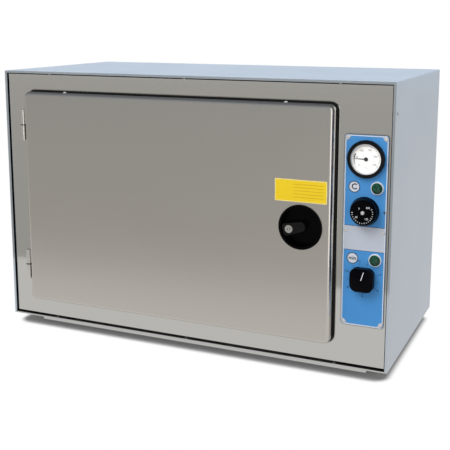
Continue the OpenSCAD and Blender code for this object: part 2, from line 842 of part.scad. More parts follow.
module latch_lever() {
    color([0.13, 0.13, 0.14]) at_cup() along_lever() difference() {
        union() {
            along_y(lever_front, lever_back) lever_outline();
            rod_y(hub_r, lever_back - eps, cup_floor - seat_gap);
        }
        rod_y(spindle_r + run_gap, lever_front + 2, 0);
        translate([lock_at, 0, 0]) rod_y(lock_r + run_gap, lever_front - 1, lever_back + 1);
    }
}

module latch_spindle() {
    color("gray") at_cup() rod_y(spindle_r, lever_front + 2 + run_gap, cam_back + cam_t + 6);
}

module latch_cam() {
    color("darkgray") at_cup() along_y(cam_back, cam_back + cam_t) difference() {
        union() {
            circle(cam_w / 2 + 2);
            translate([-cam_w / 2, -cam_l + cam_w / 2]) square([cam_w, cam_l - cam_w / 2]);
            translate([0, -cam_l + cam_w / 2]) circle(cam_w / 2);
        }
        circle(spindle_r + run_gap);
    }
}

module latch_nut() {
    color("gray") at_cup() difference() {
        translate([0, cam_back + cam_t + 5, 0]) rotate([90, 0, 0]) cylinder(r = 7.5, h = 4.9, $fn = 6);
        rod_y(spindle_r + run_gap, cam_back, cam_back + cam_t + 7);
    }
}

module lock_cylinder() {
    front = lever_front - 0.6;
    tongue_l = 10;
    color("lightgray") at_cup() along_lever() translate([lock_at, 0, 0]) difference() {
        union() {
            rod_y(lock_r, front, lever_back + seat_gap);
            block(-tongue_l, lever_back + seat_gap - eps, -2.5, 3, lever_back + seat_gap + 2.2, 2.5);
        }
        for (x = [-2, 2]) translate([x, 0, 0]) rod_y(0.7, front - 1, front + 1);
    }
}

// Controls

module control_plate() {
    color("cornflowerblue") place() difference() {
        along_y(-plate_t, 0) round_rect(plate_x - plate_w / 2, plate_bottom, plate_x + plate_w / 2,
                                        plate_bottom + plate_h, 4);
        control_holes();
    }
}

module plate_screws() {
    color("whitesmoke") place() for (s = [-1, 1], z = plate_screw_zs)
        translate([plate_x + s * plate_screw_dx, plate_front, z]) rotate([90, 0, 0]) screw(7);
}

module at_bezel() { place() translate([plate_x, 0, bezel_z]) children(); }

dial_y = plate_front - 1.2;
dial_r = case_r - 1.6;

module thermometer_bezel() {
    color("black") at_bezel() translate([0, plate_front, 0]) rotate([90, 0, 0])
        rotate_extrude() difference() {
            union() {
                translate([dial_r, 0]) square([bezel_r - dial_r, bezel_h - 2]);
                translate([dial_r, 0]) square([bezel_r - 2 - dial_r, bezel_h]);
                translate([bezel_r - 2, bezel_h - 2]) circle(2);
            }
            translate([dial_r - 1, -1]) square([case_r + 0.2 - dial_r + 1, 1 + bezel_h - 2.4]);
        }
}

module thermometer_case() {
    color("silver") at_bezel() difference() {
        rod_y(case_r, plate_front - 3, case_back);
        rod_y(dial_r + 0.2, plate_front - 4, dial_y + 0.8);
        rod_y(1 + run_gap, dial_y - 1, 12);
    }
}

module thermometer_dial() {
    color("white") at_bezel() difference() {
        rod_y(dial_r, dial_y, dial_y + 0.8);
        rod_y(1 + run_gap + 0.1, dial_y - 1, dial_y + 2);
    }
}

module thermometer_glass() {
    color([0.8, 0.9, 0.95, 0.3]) at_bezel()
        rod_y(case_r, plate_front - bezel_h + 2.5, plate_front - bezel_h + 2.5 + 0.4);
}

module thermometer_needle() {
    hand = dial_y - 0.7;
    color("black") at_bezel() {
        rod_y(1, hand, 11);
        rod_y(3, hand - 0.4, hand);
        along_y(hand, hand + 0.4) polygon([[3, -1], [3, 1], [-dial_r + 4, 0.3], [-dial_r + 4, -0.3]]);
    }
}

// A thin tube through a list of points
module tube_path(points, r) {
    for (i = [0:len(points) - 2]) {
        a = points[i];
        d = points[i + 1] - a;
        flat = norm([d[0], d[1]]);
        translate(a) rotate([0, atan2(flat, d[2]), atan2(d[1], d[0])]) cylinder(r = r, h = norm(d), $fn = 24);
        if (i > 0) translate(a) sphere(r * 1.2, $fn = 24);
    }
}

module probe(k, end) {
    a = [open_r - 110, probe_ys[k], probe_zs[k]];
    bulb_end = open_r - 20;
    color("orange") place() {
        translate([0, a[1], a[2]]) rod_x(probe_r, a[0], bulb_end);
        tube_path([[bulb_end - 1, a[1], a[2]], [shield_x + 12, a[1], a[2]],
                   [plate_x, a[1] - 30, end[2] + 12], end + [0, 8, 0], end], 1);
    }
}

module thermometer_probe() { probe(0, [plate_x, case_back, bezel_z]); }

module thermostat_probe() { probe(1, [plate_x, sheet_t + thermostat_deep, thermostat_z + 8]); }

// A square body with a threaded bush that comes out through the plate
module control_body(z, deep) {
    half = 22;
    color("ivory") place() translate([plate_x, 0, z]) difference() {
        union() {
            block(-half, sheet_t, -half, half, sheet_t + deep, half);
            rod_y(bush_r, plate_front - 0.4, sheet_t + eps);
        }
        rod_y(shaft_r + run_gap, plate_front - 1, sheet_t + 10);
    }
}

module thermostat_body() { control_body(thermostat_z, thermostat_deep); }

module timer_body() { control_body(timer_z, timer_deep); }

module control_spindle(z, knob_h) {
    color("gray") place() translate([plate_x, 0, z])
        rod_y(shaft_r, plate_front - knob_gap - knob_h + 5, sheet_t + 9);
}

module thermostat_spindle() { control_spindle(thermostat_z, thermostat_knob_h); }

module timer_spindle() { control_spindle(timer_z, timer_knob_h); }

module thermostat_knob() {
    h = thermostat_knob_h;
    r = thermostat_knob_r;
    face_r = r - 3;
    color("black") place() translate([plate_x, plate_front - knob_gap, thermostat_z]) rotate([90, 0, 0])
        difference() {
            rotate_extrude() difference() {
                polygon([[0, 0], [r, 0], [r, 1.2], [r - 0.7, 2.4], [face_r + 0.6, h - 3], [face_r - 0.2, h - 1.1],
                         [face_r - 1.4, h], [0, h]]);
                translate([shaft_r + 3, -1]) square([face_r - shaft_r - 6, h - 3]);
            }
            translate([0, 0, -1]) cylinder(r = shaft_r + run_gap, h = h - 5 + 1);
            translate([0, 0, h - 1.5]) cylinder(r = 4.4, h = 2);
            translate([0, 0, h - 7]) cylinder(r = 1.6, h = 8);
        }
}

module thermostat_knob_screw() {
    color("silver") place()
        translate([plate_x, plate_front - knob_gap - thermostat_knob_h + 1.5, thermostat_z]) rotate([90, 0, 0])
            screw(3.2);
}

module timer_knob() {
    w = timer_knob_w / 2;
    h = timer_knob_h;
    dome_r = 70;
    color("black") place() translate([plate_x, plate_front - knob_gap, timer_z]) rotate([90, 0, 0])
        difference() {
            intersection() {
                linear_extrude(h) round_rect(-w, -w, w, w, w * 0.55);
                translate([0, 0, h - dome_r]) sphere(dome_r, $fn = 160);
            }
            translate([0, 0, -1]) cylinder(r = shaft_r + run_gap, h = h - 5 + 1);
            translate([0, 0, -1]) difference() {
                linear_extrude(h - 3) round_rect(-w + 2.5, -w + 2.5, w - 2.5, w - 2.5, w * 0.55 - 2.5);
                cylinder(r = shaft_r + 3, h = h);
            }
        }
}

module at_lamps() { place() for (z = lamp_zs) translate([lamp_x, 0, z]) children(); }

module lamp_rings() {
    color("whitesmoke") at_lamps() difference() {
        translate([0, plate_front, 0]) rotate([90, 0, 0]) cylinder(r1 = lamp_ring_r, r2 = lamp_ring_r - 0.8, h = 2.4);
        rod_y(lamp_ring_r - lamp_ring_w, plate_front - 4, plate_front + 1);
    }
}

module lamp_lenses() {
    r = lamp_ring_r - lamp_ring_w - 0.2;
    color("green") at_lamps() translate([0, plate_front, 0]) rotate([90, 0, 0])
        rotate_extrude() intersection() {
            union() {
                square([r, 3.5]);
                translate([0, 3.5 - 6]) circle(sqrt(pow(r, 2) + 36));
            }
            square([r, 20]);
        }
}

module lamp_bodies() {
    color("darkgreen") at_lamps() rod_y(lamp_body_r, plate_front + eps, lamp_body_back);
}

module terminal_block() {
    ways = 4;
    pitch = 11;
    deep = 22;
    base_h = 12;
    top_h = 18;
    color("ivory") place() translate([plate_x - ways * pitch / 2, chamber_back - 60, sheet_t]) difference() {
        union() {
            cube([ways * pitch, deep, base_h]);
            for (i = [0:ways - 1]) translate([pitch * i + 1, 4, 0]) cube([pitch - 2, deep - 8, top_h]);
        }
        for (i = [0:ways - 1]) translate([pitch * (i + 0.5), deep / 2, base_h]) cylinder(r = 2, h = top_h);
    }
}

module cable_gland() {
    color("dimgray") place() translate([gland_x, 0, gland_z]) difference() {
        union() {
            rod_y(gland_thread_r, back_y - 12, back_y + eps);
            translate([0, back_y + 6, 0]) rotate([90, 0, 0]) cylinder(r = 12, h = 6, $fn = 6);
            translate([0, back_y + 6 - eps, 0]) rotate([-90, 0, 0])
                cylinder(r1 = 10, r2 = gland_bore_r + 3, h = gland_out - 6 + eps);
        }
        rod_y(gland_bore_r, back_y - 13, back_y + gland_out + 1);
    }
}

module gland_nut() {
    color("dimgray") place() translate([gland_x, 0, gland_z]) difference() {
        translate([0, back_y - sheet_t, 0]) rotate([90, 0, 0]) cylinder(r = 12, h = 5, $fn = 6);
        rod_y(gland_thread_r + run_gap, back_y - 10, back_y);
    }
}

outer_cover();
base_pan();
front_foot_rail();
rear_foot_rail();
front_fascia();
rear_panel();
chamber_liner();
chamber_insulation();
chamber_supports();
heat_shield();
heating_element();
floor_baffle();
rack_left();
rack_right();
lower_tray();
upper_tray();
latch_keeper();
cabinet_hinge_leaves();
hinge_pins();
hinge_washers();
control_plate();
plate_screws();
thermometer_bezel();
thermometer_case();
thermometer_dial();
thermometer_glass();
thermometer_needle();
thermometer_probe();
thermostat_body();
thermostat_probe();
thermostat_spindle();
thermostat_knob();
thermostat_knob_screw();
timer_body();
timer_spindle();
timer_knob();
lamp_rings();
lamp_lenses();
lamp_bodies();
terminal_block();
cable_gland();
gland_nut();
cover_screws();
rear_screws();
door_skin();
door_inner_pan();
door_insulation();
door_gasket();
door_screws();
door_screw_blocks();
door_label();
door_hinge_leaves();
latch_cup();
cup_ring();
latch_lever();
latch_spindle();
latch_cam();
latch_nut();
lock_cylinder();
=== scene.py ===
"""Looks for a dry heat sterilizer: a finish for every piece, the printed marks on its controls, its door
seal and a plain white studio.

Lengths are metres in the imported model's frame, and the machine's front faces -Y."""

import json
import math

import bmesh
import bpy
from mathutils import Euler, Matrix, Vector


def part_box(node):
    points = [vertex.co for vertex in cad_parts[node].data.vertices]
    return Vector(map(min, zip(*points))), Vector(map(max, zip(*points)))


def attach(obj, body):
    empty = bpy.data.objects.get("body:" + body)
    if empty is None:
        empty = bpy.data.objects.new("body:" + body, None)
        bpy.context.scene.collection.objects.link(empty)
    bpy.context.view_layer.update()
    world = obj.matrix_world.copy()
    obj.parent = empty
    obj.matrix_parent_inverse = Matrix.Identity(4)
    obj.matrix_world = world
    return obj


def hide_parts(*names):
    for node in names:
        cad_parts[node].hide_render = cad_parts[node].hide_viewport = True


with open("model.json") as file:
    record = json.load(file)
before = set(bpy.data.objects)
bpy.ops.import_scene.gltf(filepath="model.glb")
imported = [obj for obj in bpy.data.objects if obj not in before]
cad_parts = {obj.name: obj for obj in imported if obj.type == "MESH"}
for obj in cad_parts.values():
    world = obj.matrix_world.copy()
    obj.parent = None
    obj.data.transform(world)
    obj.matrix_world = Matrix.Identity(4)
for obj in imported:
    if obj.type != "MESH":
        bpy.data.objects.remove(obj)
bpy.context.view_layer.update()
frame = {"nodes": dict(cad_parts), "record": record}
nodes = frame["nodes"]
MM = 0.001


def centre(node):
    low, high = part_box(node)
    return (low + high) / 2


# Materials


class Finish:
    """A material round one Principled shader. Plain values go to its sockets, and calls add textures."""

    def __init__(self, name, colour, roughness, metallic=0.0, **sockets):
        self.material = bpy.data.materials.new(name)
        self.material.use_nodes = True
        self.tree = self.material.node_tree
        self.tree.nodes.clear()
        self.shader = self.add("BsdfPrincipled")
        self.link(self.shader.outputs[0], self.add("OutputMaterial").inputs["Surface"])
        self.colour = colour
        self.set("Base Color", (*colour, 1.0))
        self.set("Metallic", metallic)
        self.set("Roughness", roughness)
        for socket, value in sockets.items():
            self.set(socket.replace("_", " "), value)

    def add(self, kind, **values):
        node = self.tree.nodes.new("ShaderNode" + kind)
        for key, value in values.items():
            setattr(node, key, value)
        return node

    def link(self, out, into):
        self.tree.links.new(out, into)

    def set(self, socket, value):
        self.shader.inputs[socket].default_value = value

    def noise(self, size, stretch=(1, 1, 1), detail=3.0, offset=0.0):
        """Noise whose features are about size metres, drawn out along an axis by its stretch."""
        coords = self.add("TexCoord")
        mapping = self.add("Mapping")
        mapping.inputs["Scale"].default_value = [1 / (size * s) for s in stretch]
        mapping.inputs["Location"].default_value = (offset, offset * 0.7, offset * 1.3)
        texture = self.add("TexNoise")
        texture.inputs["Scale"].default_value = 1.0
        texture.inputs["Detail"].default_value = detail
        self.link(coords.outputs["Object"], mapping.inputs["Vector"])
        self.link(mapping.outputs["Vector"], texture.inputs["Vector"])
        return texture.outputs["Fac"]

    def ramp(self, value, low, high, start=0.3, end=0.7):
        """The value spread from start..end to low..high."""
        spread = self.add("MapRange")
        for socket, number in zip(("From Min", "From Max", "To Min", "To Max"), (start, end, low, high)):
            spread.inputs[socket].default_value = number
        self.link(value, spread.inputs["Value"])
        return spread.outputs["Result"]

    def sum(self, a, b):
        node = self.add("Math", operation="ADD")
        self.link(a, node.inputs[0])
        if isinstance(b, float):
            node.inputs[1].default_value = b
        else:
            self.link(b, node.inputs[1])
        return node.outputs[0]

    def mottle(self, value, dark, light):
        """Colour that goes between a darker and a lighter shade of the base with the value."""
        mix = self.add("Mix", data_type="RGBA")
        mix.inputs["A"].default_value = (*[c * dark for c in self.colour], 1)
        mix.inputs["B"].default_value = (*[min(1.0, c * light) for c in self.colour], 1)
        self.link(value, mix.inputs["Factor"])
        self.link(mix.outputs["Result"], self.shader.inputs["Base Color"])
        return mix

    def rough(self, value):
        self.link(value, self.shader.inputs["Roughness"])

    def bump(self, value, height, strength=1.0):
        node = self.add("Bump")
        node.inputs["Strength"].default_value = strength
        node.inputs["Distance"].default_value = height
        self.link(value, node.inputs["Height"])
        self.link(node.outputs["Normal"], self.shader.inputs["Normal"])

    def dark_seams(self, mix, reach):
        """Painted shade: darkens the colour where another surface stands within reach, for the shade that
        falls in seams and corners.
        """
        shade = 0.04
        close = self.add("AmbientOcclusion", samples=6)
        close.inputs["Distance"].default_value = reach
        painted_shade = self.add("Mix", data_type="RGBA")
        painted_shade.inputs["A"].default_value = (*[c * shade for c in self.colour], 1)
        self.link(self.ramp(close.outputs["AO"], 0.0, 1.0, 0.45, 0.95), painted_shade.inputs["Factor"])
        self.link(mix.outputs["Result"], painted_shade.inputs["B"])
        self.link(painted_shade.outputs["Result"], self.shader.inputs["Base Color"])


def steel(name, colour, roughness, grain, fine=0.05, cloud=0.05, turned=None, seam_shade_reach=None):
    """Sheet steel with a fine grain along one axis, a slow change of sheen and faint handling marks.

    Turned is what its faces to the front, and those turned away from it, add to the roughness. The seam
    shade reach is how near another surface has to be before painted shade darkens the steel's colour."""
    finish = Finish(name, colour, metallic=1.0, roughness=roughness)
    grain_stretch = {"x": (400, 1, 1), "y": (1, 400, 1), "z": (1, 1, 400)}[grain]
    streak_stretch = tuple(min(s, 60) for s in grain_stretch)
    lines = finish.noise(0.45 * MM, grain_stretch, detail=2.0)
    streaks = finish.noise(5 * MM, streak_stretch, detail=3.0, offset=3.0)
    clouds = finish.noise(130 * MM, detail=2.0, offset=7.0)
    marks = finish.noise(24 * MM, detail=5.0, offset=11.0)
    grain_part = finish.ramp(lines, -fine, fine)
    streak_part = finish.ramp(streaks, -fine * 0.6, fine * 0.6)
    cloud_part = finish.ramp(clouds, -cloud, cloud)
    mark_part = finish.ramp(marks, 0.0, cloud * 0.6, 0.55, 0.75)
    total = finish.sum(finish.sum(grain_part, streak_part), finish.sum(cloud_part, mark_part))
    rough = total
    if turned:
        turn = finish.add("SeparateXYZ")
        finish.link(finish.add("TexCoord").outputs["Normal"], turn.inputs[0])
        rough = finish.sum(total, finish.ramp(turn.outputs["Y"], *turned, -0.99, -0.85))
    finish.rough(finish.sum(rough, roughness))
    mix = finish.mottle(finish.ramp(total, 0.0, 1.0, -0.16, 0.16), 0.93, 1.05)
    # Painted shade: the colour darkens near other surfaces, standing in for shade in seams and corners
    if seam_shade_reach:
        finish.dark_seams(mix, seam_shade_reach)
    finish.bump(lines, 0.004 * MM)
    return finish.material


def moulded(name, colour, roughness, wear=0.08, sheen=0.5):
    """Moulded plastic or rubber: a fine texture and an uneven sheen."""
    finish = Finish(name, colour, roughness=roughness, Specular_IOR_Level=sheen)
    skin = finish.noise(0.6 * MM, detail=2.0)
    rub = finish.noise(9 * MM, detail=5.0, offset=5.0)
    finish.rough(finish.ramp(rub, roughness - wear * 0.5, roughness + wear))
    finish.mottle(rub, 0.85, 1.25)
    finish.bump(skin, 0.02 * MM)
    return finish.material


def printed(name, colour, roughness, wear=0.04):
    """Screen-printed ink or painted metal with slightly uneven cover."""
    finish = Finish(name, colour, roughness=roughness, Specular_IOR_Level=0.2)
    patch = finish.noise(3 * MM, detail=4.0, offset=2.0)
    finish.mottle(patch, 1 - wear, 1 + wear)
    finish.rough(finish.ramp(patch, roughness - 0.05, roughness + 0.08))
    finish.bump(finish.noise(0.5 * MM, offset=4.0), 0.004 * MM)
    return finish.material


def bright_metal(name, colour, roughness, scratch=0.06, metallic=1.0):
    """Turned or plated small metal parts with fine scratches."""
    finish = Finish(name, colour, metallic=metallic, roughness=roughness)
    lines = finish.noise(0.5 * MM, (12, 1, 1), detail=3.0)
    stain = finish.noise(7 * MM, detail=4.0, offset=6.0)
    scratches = finish.ramp(lines, 0, scratch)
    finish.rough(finish.sum(scratches, finish.ramp(stain, roughness, roughness + scratch)))
    finish.mottle(stain, 0.88, 1.04)
    finish.bump(lines, 0.003 * MM)
    return finish.material


def wool(name):
    """Yellow mineral wool."""
    finish = Finish(name, (0.72, 0.62, 0.32), roughness=0.95, Sheen_Weight=0.3)
    fibres = finish.noise(1.2 * MM, (1, 1, 9), detail=6.0)
    finish.mottle(fibres, 0.6, 1.15)
    finish.bump(fibres, 1.2 * MM)
    return finish.material


def heat_tinted(name):
    """The heater's tube, browned in patches by use."""
    finish = Finish(name, (0.16, 0.13, 0.11), metallic=0.8, roughness=0.5)
    bands = finish.noise(30 * MM, detail=5.0)
    finish.mottle(bands, 0.6, 1.9)
    finish.rough(finish.ramp(bands, 0.4, 0.62))
    finish.bump(finish.noise(0.7 * MM), 0.02 * MM)
    return finish.material


def clear_glass(name):
    """Thin clear glass with a little dust."""
    finish = Finish(name, (1.0, 1.0, 1.0), roughness=0.0, Transmission_Weight=1.0, IOR=1.2)
    dust = finish.noise(5 * MM, detail=6.0)
    finish.rough(finish.ramp(dust, 0.0, 0.03, 0.5, 0.8))
    return finish.material


def lamp_glass(name):
    """Deep green moulded lens with bumped facets; its cells are painted lighter and darker green, a painted
    reflection of the facets.
    """
    finish = Finish(name, (0.007, 0.05, 0.028), roughness=0.2, Specular_IOR_Level=0.25)
    finish.set("Coat Weight", 0.12)
    finish.set("Coat Roughness", 0.04)
    facets_and_reflections = finish.add("TexVoronoi", feature="F1")
    facets_and_reflections.inputs["Scale"].default_value = 300
    finish.link(finish.add("TexCoord").outputs["Object"], facets_and_reflections.inputs["Vector"])
    # Painted reflection: lighter and darker green cells stand in for light caught by the facets
    finish.mottle(finish.ramp(facets_and_reflections.outputs["Distance"], 0.0, 1.0, 0.0, 0.8), 0.55, 1.6)
    finish.bump(facets_and_reflections.outputs["Distance"], 0.25 * MM, 0.6)
    return finish.material


# Every finish, by its material slot in the record
FINISHES = {
    # The cover and the fascia darken near other surfaces, a painted shade in seams and corners
    "cover": steel(
        "cover_steel", (0.565, 0.625, 0.70), 0.34, "y", 0.02, 0.02, turned=(-0.26, 0.0), seam_shade_reach=7 * MM
    ),
    "stainless": steel("plain_steel", (0.62, 0.62, 0.61), 0.32, "x", 0.03, 0.03),
    "fascia": steel("fascia_steel", (0.63, 0.625, 0.605), 0.075, "x", 0.014, 0.014, seam_shade_reach=3 * MM),
    "chamber": steel("chamber_steel", (0.68, 0.68, 0.67), 0.24, "y"),
    "wool": wool("mineral_wool"),
    "heater": heat_tinted("heater_tube"),
    "hinge": bright_metal("hinge_steel", (0.72, 0.70, 0.68), 0.2, scratch=0.03),
    "washer": moulded("washer_nylon", (0.05, 0.05, 0.05), 0.5),
    "plate_blue": printed("plate_blue", (0.074, 0.312, 0.70), 0.34),
    "screw": bright_metal("screw_steel", (0.80, 0.80, 0.81), 0.2, metallic=0.45),
    "bezel": moulded("bezel_black", (0.002, 0.002, 0.0035), 0.16, sheen=0.22),
    "case": bright_metal("case_steel", (0.6, 0.6, 0.59), 0.3),
    "dial": printed("dial_white", (0.93, 0.92, 0.90), 0.5, wear=0.015),
    "glass": clear_glass("dial_glass"),
    "needle": printed("needle_black", (0.03, 0.03, 0.032), 0.4),
    "knob": moulded("knob_black", (0.0012, 0.0012, 0.0022), 0.27, sheen=0.05),
    "moulding": moulded("control_body", (0.72, 0.7, 0.62), 0.5),
    "lamp_ring": bright_metal("lamp_chrome", (0.90, 0.94, 0.95), 0.14, metallic=0.25),
    "lamp_lens": lamp_glass("lamp_green"),
    "lamp_body": moulded("lamp_body", (0.03, 0.04, 0.03), 0.5),
    "gland": moulded("gland_black", (0.02, 0.02, 0.02), 0.5),
    "door": steel("door_steel", (0.63, 0.60, 0.56), 0.33, "x", 0.016, 0.016, turned=(0.0, -0.2)),
    "door_inside": steel("door_inside_steel", (0.7, 0.7, 0.69), 0.26, "z"),
    "seal": moulded("seal_rubber", (0.006, 0.006, 0.006), 0.55, wear=0.15, sheen=0.2),
    "label": printed("label_yellow", (0.93, 0.655, 0.019), 0.4),
    "cup": moulded("cup_black", (0.0012, 0.0009, 0.0012), 0.24, sheen=0.06),
    "lever": moulded("lever_black", (0.0035, 0.0035, 0.004), 0.2, sheen=0.22),
    "latch_metal": bright_metal("latch_steel", (0.66, 0.65, 0.64), 0.28),
    "lock": bright_metal("lock_nickel", (0.62, 0.61, 0.58), 0.3),
}

for part in frame["record"]["subparts"]:
    slots = nodes[part["node"]].data.materials
    slots.clear()
    slots.append(FINISHES[part["material_slot"]])

# Light reaches the dial through its glass
nodes["thermometer_glass"].visible_shadow = False


# Printed marks, and the painted shade in the lock's pin holes

# How far a mark stands out of its face, and how far its back reaches into it
THIN = 0.08 * MM
SUNK = 0.02 * MM


class Marks:
    """Thin raised marks drawn in x and z on a face that looks to -Y, all of one ink and in one piece."""

    def __init__(self, origin):
        self.origin = Vector((origin[0], 0, origin[2]))
        self.mesh = bmesh.new()

    def face(self, points):
        verts = [self.mesh.verts.new(self.origin + Vector((x, 0, z))) for x, z in points]
        self.mesh.faces.new(verts)

    def box(self, x0, z0, x1, z1):
        self.face([(x0, z0), (x1, z0), (x1, z1), (x0, z1)])

    def spoke(self, angle, r0, r1, width):
        """A tick from radius r0 to r1, at degrees counter-clockwise from +X as the front shows them."""
        a = math.radians(angle)
        out, side = Vector((math.cos(a), math.sin(a))), Vector((-math.sin(a), math.cos(a))) * width / 2
        corners = [out * r0 - side, out * r1 - side, out * r1 + side, out * r0 + side]
        self.face([tuple(c) for c in corners])

    def arc(self, r0, r1, start=0.0, end=360.0, taper=1.0):
        """Part of a ring. Taper below 1 thins it towards its end."""
        steps = max(8, int(abs(end - start) / 5))
        for k in range(steps):
            quad = []
            for t, inner in ((k, False), (k + 1, False), (k + 1, True), (k, True)):
                share = t / steps
                a = math.radians(start + (end - start) * share)
                r = r1 - (r1 - r0) * (1 - (1 - taper) * share) if inner else r1
                quad.append((r * math.cos(a), r * math.sin(a)))
            self.face(quad)

    def disc(self, x, z, r):
        steps = 48
        turn = [2 * math.pi * k / steps for k in range(steps)]
        self.face([(x + r * math.cos(a), z + r * math.sin(a)) for a in turn])

    def frame(self, x0, z0, x1, z1, line, radius):
        """A rounded rectangular outline of one line width."""
        outer = rounded(x0, z0, x1, z1, radius)
        inner = rounded(x0 + line, z0 + line, x1 - line, z1 - line, max(radius - line, 0.2 * MM))
        for k in range(len(outer)):
            j = (k + 1) % len(outer)
            self.face([outer[k], outer[j], inner[j], inner[k]])

    def text(self, words, size, x, z, weight=0.0):
        """Words centred at x and z. Weight thickens their strokes by that share of the size."""
        curve = bpy.data.curves.new("words", "FONT")
        curve.body = words
        curve.size = size
        curve.offset = weight * size
        curve.align_x = "CENTER"
        curve.align_y = "CENTER"
        curve.resolution_u = 3
        holder = bpy.data.objects.new("words", curve)
        bpy.context.scene.collection.objects.link(holder)
        flat = bpy.data.meshes.new_from_object(holder)
        start = len(self.mesh.verts)
        self.mesh.from_mesh(flat)
        self.mesh.verts.ensure_lookup_table()
        for vert in self.mesh.verts[start:]:
            vert.co = self.origin + Vector((x + vert.co.x, 0, z + vert.co.y))
        bpy.data.objects.remove(holder)
        bpy.data.meshes.remove(flat)

    def place(self, name, front, thick, ink, slot, body, depth=None):
        """Makes the piece on the plane y = front, or behind that by depth(x, z) on a curved face."""
        made = bmesh.ops.extrude_face_region(self.mesh, geom=self.mesh.faces[:])
        raised = {g for g in made["geom"] if isinstance(g, bmesh.types.BMVert)}
        for vert in self.mesh.verts:
            back = depth(vert.co.x - self.origin.x, vert.co.z - self.origin.z) if depth else 0.0
            vert.co.y = front + back - (thick if vert in raised else -SUNK)
        bmesh.ops.recalc_face_normals(self.mesh, faces=self.mesh.faces[:])
        return new_piece(name, self.mesh, ink, body)


def new_piece(name, mesh, material, body):
    """Turns a finished mesh into a piece that rides on its body."""
    data = bpy.data.meshes.new(name)
    mesh.to_mesh(data)
    mesh.free()
    piece = bpy.data.objects.new(name, data)
    bpy.context.scene.collection.objects.link(piece)
    data.materials.append(material)
    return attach(piece, body)


def rounded(x0, z0, x1, z1, radius, steps=6):
    """Points of a rounded rectangle, counter-clockwise from the lower right corner."""
    points = []
    for corner, (x, z) in enumerate(((x1, z0), (x1, z1), (x0, z1), (x0, z0))):
        cx = x - radius if x == x1 else x + radius
        cz = z - radius if z == z1 else z + radius
        for k in range(steps + 1):
            a = math.radians(-90 + 90 * corner + 90 * k / steps)
            points.append((cx + radius * math.cos(a), cz + radius * math.sin(a)))
    return points


INK_WHITE = printed("ink_white", (0.80, 0.82, 0.84), 0.5)
INK_PALE = printed("ink_pale", (0.46, 0.50, 0.58), 0.5)
INK_BADGE = printed("ink_badge", (0.68, 0.72, 0.79), 0.5)
INK_BAND = printed("ink_band", (0.56, 0.60, 0.68), 0.42, wear=0.03)
INK_NAVY = printed("ink_navy", (0.012, 0.035, 0.13), 0.45)
# Dark ink, which also paints the shade in the lock's pin holes
INK_DARK_AND_HOLE_SHADE = printed("ink_dark_and_hole_shade", (0.025, 0.025, 0.03), 0.5)
INK_GREY = printed("ink_grey", (0.06, 0.06, 0.07), 0.5)
INK_RULE = printed("ink_rule", (0.54, 0.37, 0.013), 0.5)
INK_CREAM = printed("ink_cream", (0.93, 0.84, 0.36), 0.45)

plate_low, plate_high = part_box("control_plate")
plate_mid = (plate_low + plate_high) / 2
plate_face = plate_low.y
lamp_low, lamp_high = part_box("lamp_rings")
lamp_r = (lamp_high.x - lamp_low.x) / 2
upper_lamp_z = lamp_high.z - lamp_r
lower_lamp_z = lamp_low.z + lamp_r
badge_x = -18 * MM
band_low = plate_low.z + 125 * MM
band_high = plate_low.z + 164.7 * MM


def plate_print():
    """The plate's pale border, its corners, its bare band and the two round unit badges."""
    half_x, half_z = (plate_high.x - plate_low.x) / 2, (plate_high.z - plate_low.z) / 2
    edge = 0.4 * MM
    line = 1.4 * MM
    inset = edge + line
    border = Marks(plate_mid)
    border.frame(-half_x + edge, -half_z + edge, half_x - edge, half_z - edge, line, 4 * MM)
    border.place("plate_border", plate_face, THIN, INK_WHITE, "plate_blue", "cabinet")

    corners = Marks(plate_mid)
    patch = 8.2 * MM
    bend = 0.62 * patch
    for sx in (-1, 1):
        for sz in (-1, 1):
            x, z = sx * (half_x - inset), sz * (half_z - inset)
            bent = (x - sx * bend, z - sz * bend)
            corners.face([(x, z), (x - sx * patch, z), bent, (x, z - sz * patch)])
    corners.place("plate_corners", plate_face, THIN, INK_PALE, "plate_blue", "cabinet")

    band = Marks(plate_mid)
    inner = half_x - inset
    band.box(-inner, band_low - plate_mid.z, inner, band_high - plate_mid.z)
    band.place("plate_band", plate_face, THIN, INK_BAND, "plate_blue", "cabinet")
    edges = Marks(plate_mid)
    edge_half = 0.35 * MM
    for z in (band_low - plate_mid.z, band_high - plate_mid.z):
        edges.box(-inner, z - edge_half, inner, z + edge_half)
    edges.place("plate_band_edges", plate_face, 1.6 * THIN, INK_NAVY, "plate_blue", "cabinet")

    discs = Marks(plate_mid)
    badge_r = 9 * MM
    badges = (("upper", upper_lamp_z, "C", 13 * MM), ("lower", lower_lamp_z, "min", 8.4 * MM))
    for side, z, unit, size in badges:
        discs.disc(badge_x, z - plate_mid.z, badge_r)
        words = Marks((plate_mid.x + badge_x, 0, z))
        words.arc(badge_r - 0.9 * MM, badge_r + 0.3 * MM)
        words.text(unit, size, 0, 0, 0.022)
        words.place("badge_marks_" + side, plate_face, 1.8 * THIN, INK_DARK_AND_HOLE_SHADE, "plate_blue", "cabinet")
    discs.place("badge_discs", plate_face, THIN, INK_BADGE, "plate_blue", "cabinet")


def knob_marks():
    """The pointer mark beside the thermostat knob and the minutes round the timer knob."""
    thermostat = centre("thermostat_knob")
    pointer = Marks((plate_high.x, 0, thermostat.z))
    base_x, tip_x, half_z = -1.6 * MM, -5.8 * MM, 2.6 * MM
    pointer.face([(base_x, -half_z), (base_x, half_z), (tip_x, 0)])
    pointer.place("thermostat_marker", plate_face, THIN, INK_DARK_AND_HOLE_SHADE, "plate_blue", "cabinet")

    scale = Marks(centre("timer_knob"))
    ticks, first, pitch = 13, 75, 27.5
    tick_r0, tick_r1, number_r = 23.6 * MM, 26.2 * MM, 29.4 * MM
    for k in range(ticks):
        angle = first - pitch * k
        scale.spoke(angle, tick_r0, tick_r1, 0.7 * MM)
        if k % 2 == 0:
            a = math.radians(angle)
            scale.text(str(10 * k), 4.4 * MM, number_r * math.cos(a), number_r * math.sin(a))
    scale.place("timer_scale", plate_face, THIN, INK_NAVY, "plate_blue", "cabinet")


